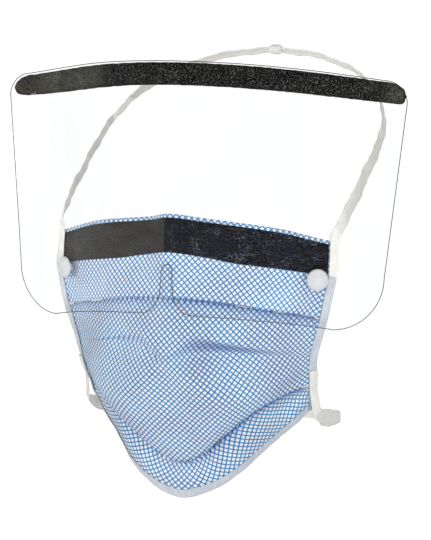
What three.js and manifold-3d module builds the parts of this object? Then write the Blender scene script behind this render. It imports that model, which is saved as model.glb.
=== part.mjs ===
// A pleated surgical mask with a clear wrap-round visor, in the shape that it has while worn.
// Millimetres, +Z up. The wearer looks along -Y. The origin is on the bridge of the nose,
// under the middle of the mask's top edge.
import * as THREE from 'three';
import { mergeVertices } from 'three/addons/utils/BufferGeometryUtils.js';
import Module from 'manifold-3d';

const wasm = await Module();
wasm.setup();

// Driving dimensions
const GAP = 0.3; // between pieces that touch
const CLOTH = 1.2; // thickness of the mask's cloth
const BINDING = 1.0; // thickness of the folded edge bindings
const STRIP = 1.0; // thickness of the dark glare strip
const EDGE_SHARE = 0.05; // share of the half width that the side bindings cover
const HEM = 4.0; // depth of the bottom binding

const VISOR = {
  thickness: 0.5,
  height: 126.2, // at the middle, above the bottom edge
  topHalf: 119.4,
  bottomHalf: 110.5,
  topDrop: 6.8, // the ends of the top edge lie this much lower than its middle
  bottomDrop: 6.1,
  topCorner: 11.3,
  bottomCorner: 26.4,
  notchHeight: 24.8,
  notchHalf: 2.7,
  notchMouthHalf: 3.3,
  notchFlare: 9.9,
  notchFlareHeight: 13,
  bendIn: 1.6, // the sheet's turn grows by this per spanHalf, and is taken back by the cube
  bendBack: 1.85,
  spanHalf: 130,
  front: -5.5, // the outer face on the middle line
  bottom: -50.1,
  lean: THREE.MathUtils.degToRad(1.3),
  pull: 4.2, // the rivets draw the bottom edge in by this much, fading sideways over pullWide and up to the top
  pullWide: 24,
};

const FOAM = { height: 11.2, thickness: 12, top: 0.6, endInset: 2.2, endRise: 1.2, bevel: 1.6, endRound: 7 };

const RIVET = {
  along: 75.4, // along the visor from its middle
  height: 18.9, // above the visor's bottom edge
  capRadius: 5.6,
  capRim: 1.0,
  capDome: 0.8,
  stemRadius: 1.6,
  flangeRadius: 2.4,
  flangeThickness: 1.0,
  holeRadius: 1.95,
};

const TIE = { thickness: 1.0, sewnWidth: 4.4, steps: 5, knotLength: 8.8, knotHeight: 6.6, knotDepth: 4.4 };

// Places across the mask where the rows below give their shape, as shares of the half width. The last but one
// is the line where the side bindings begin.
const ACROSS = [0, 0.18, 0.4, 0.7, 0.95, 1];

// One row for each edge, fold and bend of the mask, from top to bottom. half: half width. y and z: depth and
// height at the places ACROSS. steps: rows of faces down to this row. bulge: how far the cloth above it swells.
const ROWS = [
  { name: 'top', half: 75.0, steps: 0, bulge: 0,
    y: [-1.6, 9.0, 14.0, 22.0, 34.2, 36.2], z: [0, -2.8, -5.6, -9.0, -14.4, -15.2] },
  { name: 'stripTop', half: 75.0, steps: 1, bulge: 0,
    y: [-1.8, 8.4, 13.2, 21.4, 33.8, 35.8], z: [-2.0, -4.8, -7.6, -11.0, -16.3, -17.1] },
  { name: 'stripLow', half: 75.2, steps: 3, bulge: 0.6,
    y: [-2.2, 4.0, 8.0, 18.8, 32.6, 34.6], z: [-19.4, -21.3, -24.2, -27.0, -30.2, -31.0] },
  { name: 'pleat1', half: 70.8, steps: 4, bulge: 0,
    y: [-4.3, -2.9, 1.6, 15.2, 33.6, 35.4], z: [-42.0, -42.4, -44.0, -48.0, -52.0, -53.0] },
  { name: 'tuck1', half: 70.4, steps: 1, bulge: 0,
    y: [-3.6, -1.2, 3.6, 17.0, 33.9, 35.6], z: [-43.4, -43.9, -45.5, -49.4, -53.4, -54.4] },
  { name: 'pleat2', half: 66.0, steps: 3, bulge: 0.5,
    y: [-6.3, -4.2, 0.8, 14.0, 33.6, 36.6], z: [-71.0, -61.8, -63.0, -66.8, -69.4, -70.2] },
  { name: 'tuck2', half: 65.6, steps: 2, bulge: 0,
    y: [-6.0, 1.0, 8.0, 20.0, 34.2, 37.0], z: [-72.8, -74.6, -76.6, -75.5, -72.4, -72.8] },
  { name: 'crest', half: 64.8, steps: 3, bulge: 1.0,
    y: [-6.5, -5.0, 0.5, 14.0, 35.0, 38.8], z: [-75.0, -82.0, -93.0, -96.0, -82.6, -80.6] },
  { name: 'chin', half: 64.4, steps: 3, bulge: 0.4,
    y: [5.0, 5.0, 7.0, 18.0, 37.0, 41.0], z: [-103.0, -104.0, -107.0, -101.5, -87.2, -85.0] },
  { name: 'pleat3', half: 63.4, steps: 3, bulge: 1.0,
    y: [19.6, 18.8, 17.6, 24.0, 39.6, 43.6], z: [-131.0, -125.6, -117.5, -105.0, -91.6, -89.2] },
  { name: 'tuck3', half: 63.0, steps: 1, bulge: 0,
    y: [21.0, 20.8, 20.2, 27.2, 40.6, 44.2], z: [-131.9, -126.9, -119.0, -106.4, -92.8, -90.2] },
  { name: 'bottom', half: 61.6, steps: 3, bulge: 0.6,
    y: [22.4, 22.8, 26.0, 37.0, 46.0, 49.0], z: [-146.2, -143.6, -135.8, -117.4, -101.4, -98.6] },
];

// The side walls of the head that the ties lie on. They are not made, they only give the ties their facing.
const HEAD = { middle: [0, 92, 5], half: [79, 98, 97] };
const NECK = { middle: [0, 96, 0], half: [58, 58, 1e6] };

// The ties' middle lines on the wearer's left, from the mask to the knot behind the head. width: the ribbon's
// width. face: how far it has turned from the mask's face, 0, to lying on the head, 1.
const UPPER_TIE = [
  { at: [75.2, 34.2, -10.4], width: 5.2, face: 0.35 },
  { at: [77.2, 39.6, -3.6], width: 6.6, face: 0.8 },
  { at: [78.4, 52.0, 6.0], width: 7.6, face: 1 },
  { at: [79.2, 74.0, 22.4], width: 7.0, face: 1 },
  { at: [79.0, 97.0, 39.0], width: 6.0, face: 1 },
  { at: [73.5, 115.0, 54.0], width: 5.8, face: 1 },
  { at: [61.0, 130.0, 67.0], width: 5.8, face: 1 },
  { at: [42.5, 141.0, 76.4], width: 5.8, face: 1 },
  { at: [22.0, 147.6, 81.9], width: 5.8, face: 1 },
  { at: [4.7, 150.0, 84.0], width: 5.8, face: 1 },
];
const LOWER_TIE = [
  { at: [64.0, 46.0, -101.4], width: 5.2, face: 0.4 },
  { at: [64.4, 52.4, -104.6], width: 6.6, face: 0.85 },
  { at: [63.2, 62.0, -107.0], width: 7.8, face: 1 },
  { at: [60.4, 84.0, -110.0], width: 7.0, face: 1 },
  { at: [57.6, 101.0, -111.4], width: 6.0, face: 1 },
  { at: [51.4, 120.0, -113.2], width: 5.8, face: 1 },
  { at: [38.0, 138.4, -115.4], width: 5.8, face: 1 },
  { at: [21.0, 150.0, -117.2], width: 5.8, face: 1 },
  { at: [4.7, 153.9, -118.2], width: 5.8, face: 1 },
];

const COLOURS = {
  cloth: [0x9cc3ea, 0.9, 0],
  strip: [0x17181c, 0.8, 0],
  binding: [0xd9e0ec, 0.85, 0],
  tie: [0xe6e5dd, 0.9, 0],
  visor: [0xf4f8fa, 0.08, 0],
  foam: [0x24241f, 0.95, 0],
  rivet: [0xe9edf2, 0.35, 0],
};

const V = (x, y, z) => new THREE.Vector3(x, y, z);

// A smooth curve through the values at the nodes, level at the first node because the shape is mirrored there
function smoothThrough(nodes, values, at) {
  const last = nodes.length - 1;
  const rise = (i) => (values[i + 1] - values[i]) / (nodes[i + 1] - nodes[i]);
  const slope = (i) => {
    if (i === 0) return 0;
    if (i === last) return rise(last - 1);
    const before = nodes[i] - nodes[i - 1];
    const after = nodes[i + 1] - nodes[i];
    return (rise(i - 1) * after + rise(i) * before) / (before + after);
  };
  let k = 0;
  while (k < last - 1 && at > nodes[k + 1]) k += 1;
  const span = nodes[k + 1] - nodes[k];
  const u = (at - nodes[k]) / span;
  return values[k] * (1 + 2 * u) * (1 - u) ** 2 + values[k + 1] * u * u * (3 - 2 * u)
    + span * (slope(k) * u * (1 - u) ** 2 - slope(k + 1) * u * u * (1 - u));
}

function rowPoint(row, across) {
  const a = Math.abs(across);
  return V(row.half * across, smoothThrough(ACROSS, row.y, a), smoothThrough(ACROSS, row.z, a));
}

// The normals of a grid of points whose columns run to +X and whose rows run down. At a fold they are longer
// than 1, so that a face offset along them keeps its distance on both sides of the fold.
function gridNormals(grid) {
  const rows = grid.length;
  const columns = grid[0].length;
  return grid.map((line, j) => line.map((_, i) => {
    const along = grid[j][Math.min(i + 1, columns - 1)].clone().sub(grid[j][Math.max(i - 1, 0)]);
    const facet = (a, b) => grid[b][i].clone().sub(grid[a][i]).cross(along).normalize();
    const above = facet(Math.max(j - 1, 0), Math.max(j, 1));
    const below = facet(Math.min(j, rows - 2), Math.min(j + 1, rows - 1));
    const middle = above.clone().add(below).normalize();
    return middle.multiplyScalar(1 / Math.max(0.75, middle.dot(above)));
  }));
}

const offsetGrid = (grid, normals, distance) =>
  grid.map((line, j) => line.map((p, i) => p.clone().addScaledVector(normals[j][i], distance)));

// One closed sheet between a front and a back grid of points of the same size
function sheet(front, back) {
  const rows = front.length;
  const columns = front[0].length;
  const positions = [...front.flat(), ...back.flat()].flatMap((p) => [p.x, p.y, p.z]);
  const f = (j, i) => j * columns + i;
  const b = (j, i) => rows * columns + j * columns + i;
  const index = [];
  const quad = (p, q, r, s) => index.push(p, q, r, p, r, s);
  for (let j = 0; j < rows - 1; j += 1) {
    for (let i = 0; i < columns - 1; i += 1) {
      quad(f(j, i), f(j + 1, i), f(j + 1, i + 1), f(j, i + 1));
      quad(b(j, i), b(j, i + 1), b(j + 1, i + 1), b(j + 1, i));
    }
    quad(b(j, 0), b(j + 1, 0), f(j + 1, 0), f(j, 0));
    quad(f(j, columns - 1), f(j + 1, columns - 1), b(j + 1, columns - 1), b(j, columns - 1));
  }
  for (let i = 0; i < columns - 1; i += 1) {
    quad(b(0, i), f(0, i), f(0, i + 1), b(0, i + 1));
    quad(f(rows - 1, i), b(rows - 1, i), b(rows - 1, i + 1), f(rows - 1, i + 1));
  }
  const corners = [...front.flat(), ...back.flat()];
  let volume = 0;
  for (let k = 0; k < index.length; k += 3) {
    const [p, q, r] = index.slice(k, k + 3).map((n) => corners[n]);
    volume += p.dot(q.clone().cross(r));
  }
  if (volume < 0) index.reverse();
  const geometry = new THREE.BufferGeometry();
  geometry.setAttribute('position', new THREE.Float32BufferAttribute(positions, 3));
  geometry.setIndex(index);
  return geometry;
}

function solidOf(geometry) {
  const plain = geometry.clone();
  plain.deleteAttribute('normal');
  plain.deleteAttribute('uv');
  const merged = mergeVertices(plain);
  return new wasm.Manifold(new wasm.Mesh({
    numProp: 3,
    vertProperties: new Float32Array(merged.attributes.position.array),
    triVerts: new Uint32Array(merged.index.array),
  }));
}

function geometryOf(solid) {
  const mesh = solid.getMesh();
  const geometry = new THREE.BufferGeometry();
  geometry.setAttribute('position', new THREE.Float32BufferAttribute(mesh.vertProperties, 3));
  geometry.setIndex([...mesh.triVerts]);
  return geometry;
}

function named(name, geometry, [color, roughness, metalness], extra = {}) {
  const material = new THREE.MeshStandardMaterial({ color, roughness, metalness, ...extra });
  const mesh = new THREE.Mesh(geometry, material);
  mesh.name = name;
  return mesh;
}

// The mask's outer face: columns crowd towards the nose, and the last one on each side is the bindings' width
function maskColumns(perSide = 18) {
  const half = [];
  for (let i = 0; i <= perSide; i += 1) half.push((1 - EDGE_SHARE) * (i / perSide) ** 1.12);
  half.push(1);
  return [...half.slice(1).reverse().map((t) => -t), ...half];
}

function maskGrid(columns) {
  const grid = [columns.map((t) => rowPoint(ROWS[0], t))];
  const rowAt = { [ROWS[0].name]: 0 };
  for (let r = 1; r < ROWS.length; r += 1) {
    const above = ROWS[r - 1];
    const below = ROWS[r];
    const ends = columns.map((t) => [rowPoint(above, t), rowPoint(below, t)]);
    for (let s = 1; s <= below.steps; s += 1) {
      const share = s / below.steps;
      grid.push(columns.map((t, i) => {
        const [a, b] = ends[i];
        const swell = below.bulge * Math.sin(Math.PI * share) * (1 - t ** 4);
        return a.clone().lerp(b, share).add(V(swell * t * 0.5, -swell, 0));
      }));
    }
    rowAt[below.name] = grid.length - 1;
  }
  return { grid, rowAt };
}

// The last row before the bottom edge is moved so that the bottom binding has its own depth everywhere
function setHem(grid) {
  const last = grid.length - 1;
  grid[last - 1] = grid[last].map((p, i) => {
    const up = grid[last - 2][i].clone().sub(p);
    return p.clone().addScaledVector(up, HEM / up.length());
  });
}

const columns = maskColumns();
const { grid: maskFront, rowAt } = maskGrid(columns);
setHem(maskFront);
const maskNormals = gridNormals(maskFront);
const maskBack = offsetGrid(maskFront, maskNormals, -CLOTH);

// A strip folded round an edge of the mask. leg and edge are points on the outer face, where the fold's
// outer leg begins and where the cloth ends, with the normals at both.
function foldedBinding(stations) {
  const outer = [];
  const inner = [];
  for (const { leg, edge, legNormal, edgeNormal } of stations) {
    const out = edge.clone().sub(leg).normalize();
    const place = (point, normal, side, beyond) =>
      point.clone().addScaledVector(normal, side).addScaledVector(out, beyond);
    const near = GAP;
    const far = GAP + BINDING;
    outer.push([
      place(leg, legNormal, far, 0),
      place(edge, edgeNormal, far - 0.3, far - 0.3),
      place(edge, edgeNormal, -CLOTH - far + 0.3, far - 0.3),
      place(leg, legNormal, -CLOTH - far, 0),
    ]);
    inner.push([
      place(leg, legNormal, near, 0),
      place(edge, edgeNormal, near, near),
      place(edge, edgeNormal, -CLOTH - near, near),
      place(leg, legNormal, -CLOTH - near, 0),
    ]);
  }
  return [outer, inner];
}

function sideBinding(side) {
  const last = columns.length - 1;
  const [leg, edge] = side > 0 ? [last - 1, last] : [1, 0];
  const [outer, inner] = foldedBinding(maskFront.map((line, j) => ({
    leg: line[leg], edge: line[edge], legNormal: maskNormals[j][leg], edgeNormal: maskNormals[j][edge],
  })));
  return sheet(outer, inner);
}

// A point on the way from one column to the next, clear of the side binding by the gap
function pulledBack(line, from, to, distance) {
  const step = line[to].clone().sub(line[from]);
  return line[from].clone().addScaledVector(step, distance / step.length());
}

function bottomBinding() {
  const last = maskFront.length - 1;
  const ends = columns.length - 1;
  const stations = [];
  for (let i = 1; i < ends; i += 1) {
    const isEnd = i === 1 || i === ends - 1;
    const inward = i === 1 ? 2 : ends - 2;
    const at = (line) => (isEnd ? pulledBack(line, i, inward, GAP + 0.1) : line[i].clone());
    stations.push({
      leg: at(maskFront[last - 1]), edge: at(maskFront[last]),
      legNormal: maskNormals[last - 1][i], edgeNormal: maskNormals[last][i],
    });
  }
  const [outer, inner] = foldedBinding(stations);
  return sheet(outer, inner);
}

function glareStrip() {
  const ends = columns.length - 1;
  const face = (distance) => {
    const lines = [];
    for (let j = rowAt.stripTop; j <= rowAt.stripLow; j += 1) {
      const line = offsetGrid([maskFront[j]], [maskNormals[j]], distance)[0];
      const inside = line.slice(1, ends);
      inside[0] = pulledBack(line, 1, 2, GAP + 0.1);
      inside[inside.length - 1] = pulledBack(line, ends - 1, ends - 2, GAP + 0.1);
      lines.push(inside);
    }
    return lines;
  };
  let solid = solidOf(sheet(face(GAP + STRIP), face(GAP)));
  for (const side of [-1, 1]) solid = solid.subtract(rivetHole(side));
  return geometryOf(solid);
}

// The visor is a flat sheet bent about upright lines. Along its width the sheet turns by bendIn * u less
// bendBack * u cubed, where u is the way from the middle over spanHalf.
const SPINE_STEPS = 260;
const spine = [{ x: 0, y: 0, turn: 0 }];
for (let i = 1; i <= SPINE_STEPS; i += 1) {
  const u = (i - 0.5) / SPINE_STEPS;
  const turn = VISOR.bendIn * u - VISOR.bendBack * u ** 3;
  const step = VISOR.spanHalf / SPINE_STEPS;
  const previous = spine[i - 1];
  spine.push({ x: previous.x + Math.cos(turn) * step, y: previous.y + Math.sin(turn) * step, turn });
}

// A point of the visor: along its width, up its height, and inwards from its outer face
function visorPoint(along, up, inwards = 0) {
  const side = Math.sign(along) || 1;
  const at = (Math.abs(along) / VISOR.spanHalf) * SPINE_STEPS;
  const k = Math.min(Math.floor(at), SPINE_STEPS - 1);
  const share = at - k;
  const x = spine[k].x + (spine[k + 1].x - spine[k].x) * share;
  const y = spine[k].y + (spine[k + 1].y - spine[k].y) * share;
  const u = Math.abs(along) / VISOR.spanHalf;
  const turn = VISOR.bendIn * u - VISOR.bendBack * u ** 3;
  const px = side * (x - Math.sin(turn) * inwards);
  const py = y + Math.cos(turn) * inwards;
  const c = Math.cos(VISOR.lean);
  const s = Math.sin(VISOR.lean);
  const aside = (Math.abs(along) - RIVET.along) / VISOR.pullWide;
  const pull = VISOR.pull * Math.exp(-aside * aside) * (1 - up / VISOR.height);
  return V(px, VISOR.front + pull + py * c + up * s, VISOR.bottom + up * c - py * s);
}

// The visor's flat outline: the height of its top edge and of its bottom edge at a place along its width
function visorTop(along) {
  const v = VISOR;
  const start = v.topHalf - v.topCorner;
  const a = Math.abs(along);
  if (a <= start) return v.height - v.topDrop * (a / start) ** 2;
  return v.height - v.topDrop - v.topCorner + Math.sqrt(Math.max(0, v.topCorner ** 2 - (a - start) ** 2));
}

function visorBottom(along) {
  const v = VISOR;
  const start = v.bottomHalf - v.bottomCorner;
  const a = Math.abs(along);
  const mouth = v.notchMouthHalf + v.notchFlare;
  if (a <= v.notchHalf) return v.notchHeight - v.notchHalf + Math.sqrt(Math.max(0, v.notchHalf ** 2 - a ** 2));
  if (a <= v.notchMouthHalf) {
    const share = (a - v.notchHalf) / (v.notchMouthHalf - v.notchHalf);
    return THREE.MathUtils.lerp(v.notchHeight - v.notchHalf, v.notchFlareHeight, share);
  }
  const edge = -v.bottomDrop * (a / start) ** 2;
  if (a < mouth) {
    const share = (mouth - a) / v.notchFlare;
    return edge + (v.notchFlareHeight - edge) * (1 - Math.sqrt(1 - share * share));
  }
  if (a <= start) return edge;
  if (a <= v.bottomHalf) {
    return v.bottomCorner - v.bottomDrop - Math.sqrt(Math.max(0, v.bottomCorner ** 2 - (a - start) ** 2));
  }
  const sideTop = v.height - v.topDrop - v.topCorner;
  const share = (a - v.bottomHalf) / (v.topHalf - v.bottomHalf);
  return THREE.MathUtils.lerp(v.bottomCorner - v.bottomDrop, sideTop, share);
}

// Stations along the visor: even on the straight stretches, and by equal angles round the corners
function visorStations() {
  const v = VISOR;
  const half = [0, 0.5 * v.notchHalf, 0.85 * v.notchHalf, v.notchHalf, v.notchMouthHalf];
  const mouth = v.notchMouthHalf + v.notchFlare;
  for (const angle of [0.25, 0.5, 0.8, 1.15]) half.push(mouth - v.notchFlare * Math.cos(angle));
  const plain = v.bottomHalf - v.bottomCorner;
  for (let i = 0; i <= 9; i += 1) half.push(THREE.MathUtils.lerp(mouth, plain, i / 9));
  for (let i = 1; i <= 7; i += 1) half.push(plain + v.bottomCorner * Math.sin((i / 7) * (Math.PI / 2)));
  for (let i = 1; i <= 6; i += 1) {
    half.push(v.topHalf - v.topCorner + v.topCorner * Math.sin((i / 6.4) * (Math.PI / 2)));
  }
  half.sort((a, b) => a - b);
  const kept = half.filter((s, i) => i === 0 || s - half[i - 1] > 0.12);
  return [...kept.slice(1).reverse().map((s) => -s), ...kept];
}

function rivetFrame(side) {
  const around = (along, up) => visorPoint(side * RIVET.along + along, RIVET.height + up, 0);
  const seat = around(0, 0);
  const inwards = around(0, 4).sub(around(0, -4)).cross(around(4, 0).sub(around(-4, 0))).normalize();
  return { seat, inwards };
}

// Turns a geometry built along +Y so that +Y points along the direction, with its origin at the place
function placed(geometry, place, direction) {
  const turn = new THREE.Quaternion().setFromUnitVectors(V(0, 1, 0), direction);
  return geometry.applyQuaternion(turn).translate(place.x, place.y, place.z);
}

function rivetHole(side) {
  const { seat, inwards } = rivetFrame(side);
  const drill = new THREE.CylinderGeometry(RIVET.holeRadius, RIVET.holeRadius, 16, 20);
  return solidOf(placed(drill, seat, inwards));
}

function visorSheet() {
  const stations = visorStations();
  const face = (inwards) => [visorTop, visorBottom].map((edge) =>
    stations.map((s) => visorPoint(s, edge(s), inwards)));
  let solid = solidOf(sheet(face(0), face(VISOR.thickness)));
  for (const side of [-1, 1]) solid = solid.subtract(rivetHole(side));
  return geometryOf(solid);
}

// The visor's top edge as it would run on without its rounded corners
function visorTopLine(along) {
  return VISOR.height - VISOR.topDrop * (along / (VISOR.topHalf - VISOR.topCorner)) ** 2;
}

// The foam bar behind the visor's top edge. Its top and its ends follow the visor's corners.
function foamBar() {
  const end = VISOR.topHalf - FOAM.endInset;
  const near = VISOR.thickness + GAP;
  const section = [];
  for (let i = 0; i <= 36; i += 1) {
    const s = end * Math.sin((i / 18 - 1) * (Math.PI / 2)) * 0.4 + end * (i / 18 - 1) * 0.6;
    const fromEnd = Math.min(1, (end - Math.abs(s)) / FOAM.endRound);
    const round = Math.sqrt(1 - (1 - fromEnd) ** 2);
    const high = visorTop(s) - FOAM.top;
    const low = visorTopLine(s) - FOAM.top - FOAM.height + FOAM.endRise * (s / end) ** 4;
    section.push({ s, high, low, deep: near + FOAM.thickness * (0.45 + 0.55 * round) });
  }
  const line = (up, inwards) => section.map((c) => visorPoint(c.s, up(c), inwards(c)));
  const b = FOAM.bevel;
  const front = [
    line((c) => c.high - b * 0.4, () => near),
    line((c) => (c.high + c.low) / 2, () => near),
    line((c) => c.low + b, () => near),
  ];
  const back = [
    line((c) => c.high, (c) => (near + c.deep) / 2),
    line((c) => (c.high + c.low) / 2, (c) => c.deep),
    line((c) => c.low, (c) => (near + c.deep) / 2),
  ];
  front.push(line((c) => c.low, () => near + b));
  back.push(line((c) => c.low, () => near + b * 1.8));
  front.unshift(line((c) => c.high, () => near + b * 0.5));
  back.unshift(line((c) => c.high, () => near + b * 1.3));
  back[1] = line((c) => c.high - b * 0.3, (c) => c.deep - b * 0.4);
  back[3] = line((c) => c.low + b * 0.3, (c) => c.deep - b * 0.4);
  return sheet(front, back);
}

// A domed cap, a stem through the visor and the cloth, and a flange behind the cloth, turned as one piece
function rivet(side) {
  const { seat, inwards } = rivetFrame(side);
  const r = RIVET;
  const cloth = clothDepth(side);
  const flange = cloth + CLOTH + GAP + 0.25;
  const base = -GAP - 0.15;
  const profile = [
    [0, base - r.capRim - r.capDome],
    [r.capRadius * 0.55, base - r.capRim - r.capDome * 0.72],
    [r.capRadius * 0.9, base - r.capRim],
    [r.capRadius, base - r.capRim * 0.45],
    [r.capRadius, base],
    [r.stemRadius, base],
    [r.stemRadius, flange],
    [r.flangeRadius, flange],
    [r.flangeRadius, flange + r.flangeThickness],
    [0, flange + r.flangeThickness],
  ].map(([radius, depth]) => new THREE.Vector2(radius, depth));
  return placed(new THREE.LatheGeometry(profile, 24), seat, inwards);
}

// How far behind the visor's outer face the cloth's outer face lies, along the rivet
function clothDepth(side) {
  const { seat, inwards } = rivetFrame(side);
  const mesh = new THREE.Mesh(sheet(maskFront, maskBack), new THREE.MeshBasicMaterial({ side: THREE.DoubleSide }));
  const hits = new THREE.Raycaster(seat, inwards).intersectObject(mesh);
  return hits[0].distance;
}

function maskBody() {
  let solid = solidOf(sheet(maskFront, maskBack));
  for (const side of [-1, 1]) solid = solid.subtract(rivetHole(side));
  return geometryOf(solid);
}

// The outward direction of the head or neck at a point beside it
function facingOf(body, point) {
  const [x, y, z] = [0, 1, 2].map((k) => (point.getComponent(k) - body.middle[k]) / body.half[k] ** 2);
  return V(x, y, z).normalize();
}

// A ribbon through stations that each give its middle, its facing and its width
function ribbon(stations) {
  const last = stations.length - 1;
  const front = [];
  const back = [];
  stations.forEach(({ middle, facing, width, edgeWay }, k) => {
    const way = stations[Math.min(k + 1, last)].middle.clone().sub(stations[Math.max(k - 1, 0)].middle);
    const across = edgeWay || way.clone().cross(facing).normalize();
    const out = edgeWay ? facing.clone() : across.clone().cross(way).normalize();
    const place = (half, thick) => middle.clone().addScaledVector(across, half).addScaledVector(out, thick);
    const t = TIE.thickness / 2;
    front.push([place(-width / 2, t), place(width / 2, t)]);
    back.push([place(-width / 2, -t), place(width / 2, -t)]);
  });
  return sheet(front, back);
}

// The wearer's left tie: sewn down on the face of the side binding over the given rows of the mask, then free
function leftTie(rows, table, body) {
  const last = columns.length - 1;
  const lift = GAP + BINDING + GAP + TIE.thickness / 2;
  const stations = rows.map((j) => {
    const [leg, edge] = [maskFront[j][last - 1], maskFront[j][last]];
    const facing = maskNormals[j][last - 1].clone().add(maskNormals[j][last]).multiplyScalar(0.5);
    const middle = leg.clone().lerp(edge, 0.6).addScaledVector(facing, lift);
    return { middle, facing, width: TIE.sewnWidth, edgeWay: edge.clone().sub(leg).normalize() };
  });
  const start = stations[stations.length - 1];
  const points = [start.middle, ...table.map((row) => V(...row.at))];
  const curve = new THREE.CatmullRomCurve3(points, false, 'centripetal');
  const goesUp = points[1].z > points[0].z;
  for (let k = 1; k <= table.length * TIE.steps; k += 1) {
    const at = k / TIE.steps;
    const from = Math.min(Math.floor(at), table.length - 1);
    const before = from === 0 ? { width: TIE.sewnWidth, face: 0 } : table[from - 1];
    const middle = curve.getPoint(at / table.length);
    const turned = THREE.MathUtils.lerp(before.face, table[from].face, at - from);
    const facing = start.facing.clone().normalize().lerp(facingOf(body, middle), turned).normalize();
    const width = THREE.MathUtils.lerp(before.width, table[from].width, at - from);
    stations.push({ middle, facing, width: goesUp ? width : -width });
  }
  return ribbon(stations);
}

function mirrored(geometry) {
  const other = geometry.clone().scale(-1, 1, 1);
  other.setIndex([...other.index.array].reverse());
  return other;
}

// The rows of the mask from one named row to another
function rowsBetween(from, to) {
  const step = rowAt[to] > rowAt[from] ? 1 : -1;
  const rows = [];
  for (let j = rowAt[from]; j !== rowAt[to] + step; j += step) rows.push(j);
  return rows;
}

function knot(table, body) {
  const [, y, z] = table[table.length - 1].at;
  const middle = V(0, y, z);
  const ball = new THREE.SphereGeometry(0.5, 16, 10);
  ball.scale(TIE.knotLength, TIE.knotDepth, TIE.knotHeight);
  return placed(ball, middle, facingOf(body, middle));
}

const mask = new THREE.Group();
mask.add(named('mask_body', maskBody(), COLOURS.cloth));
mask.add(named('glare_strip', glareStrip(), COLOURS.strip));
mask.add(named('binding_left', sideBinding(1), COLOURS.binding));
mask.add(named('binding_right', sideBinding(-1), COLOURS.binding));
mask.add(named('binding_bottom', bottomBinding(), COLOURS.binding));
mask.add(named('visor', visorSheet(), COLOURS.visor, { transparent: true, opacity: 0.2 }));
mask.add(named('foam_bar', foamBar(), COLOURS.foam));
mask.add(named('rivet_left', rivet(1), COLOURS.rivet));
mask.add(named('rivet_right', rivet(-1), COLOURS.rivet));
const upperRows = rowsBetween('stripLow', 'top');
const lowerRows = rowsBetween('crest', 'tuck3');
const upperTie = leftTie(upperRows, UPPER_TIE, HEAD);
const lowerTie = leftTie(lowerRows, LOWER_TIE, NECK);
mask.add(named('tie_upper_left', upperTie, COLOURS.tie));
mask.add(named('tie_upper_right', mirrored(upperTie), COLOURS.tie));
mask.add(named('tie_lower_left', lowerTie, COLOURS.tie));
mask.add(named('tie_lower_right', mirrored(lowerTie), COLOURS.tie));
mask.add(named('knot_upper', knot(UPPER_TIE, HEAD), COLOURS.tie));
mask.add(named('knot_lower', knot(LOWER_TIE, NECK), COLOURS.tie));

export default mask;
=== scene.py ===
"""A worn surgical mask: crosshatched cloth in pleats, dark strip, clear visor, foam brow bar and ribbon ties.

Lengths are in millimetres up to the materials, and each mesh is made in metres. The wearer looks along -Y, and
+X is the wearer's left. The origin is on the bridge of the nose.
"""
import math
from types import SimpleNamespace

import bpy
import numpy as np
from mathutils import Matrix, Vector


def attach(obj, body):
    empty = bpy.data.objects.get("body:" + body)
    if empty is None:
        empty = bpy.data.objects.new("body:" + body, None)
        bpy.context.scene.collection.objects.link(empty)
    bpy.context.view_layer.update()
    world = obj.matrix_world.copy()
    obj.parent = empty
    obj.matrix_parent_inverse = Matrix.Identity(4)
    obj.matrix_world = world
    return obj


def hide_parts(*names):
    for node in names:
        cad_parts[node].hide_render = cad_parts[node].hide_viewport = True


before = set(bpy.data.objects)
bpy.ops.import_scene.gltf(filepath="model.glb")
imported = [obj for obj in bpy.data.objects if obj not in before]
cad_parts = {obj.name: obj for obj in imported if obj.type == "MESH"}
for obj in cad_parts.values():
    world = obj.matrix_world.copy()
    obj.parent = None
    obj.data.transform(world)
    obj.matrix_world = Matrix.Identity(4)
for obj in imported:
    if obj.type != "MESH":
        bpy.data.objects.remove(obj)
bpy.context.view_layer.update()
MM = 0.001
GOLDEN_ANGLE = 2.39996
GOLDEN_SHARE = 0.618034
CLOTH_WALL = 0.3
FINE_ROW = 1.25
BINDING_WALL = 0.32
BINDING_STEP = 1.1
HEM = 4
STRIP_WALL = 0.25
STRIP_LIFT = 0.42
STRIP_ROWS = 22
FILM_ROWS = 46
BEAD = 0.21
BEAD_INSET = 0.2
SEWN_WIDTH = 4.6
SEWN_LIFT = 1.45
SEWN_STEP = 1.5
KNOT_HALF = (4.4, 2.2, 3.3)
SOLVER_STEPS = (450, 220, 220, 220)

# The wearer's right side against the table: pleat 2 forward and raised, and the mask wider
RIGHT_FORWARD = 6.5
RIGHT_RAISED = 4
RIGHT_WIDER = 2.6

# The pleats whose cloth turns in and runs up behind the edge, and how far in and up it goes
FOLDED = ("pleat1", "pleat3")
FOLD_PATH = ((0.6, 0.05), (0.8, 3), (1.3, 2.8))
FOLD_SOFTNESS = 0.3

# Places across the mask where each row gives its shape, as shares of the half width
ACROSS = np.array([0, 0.18, 0.4, 0.7, 0.95, 1])
BINDING_LINE = 0.96
EDGE_LINE = 0.9999

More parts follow.
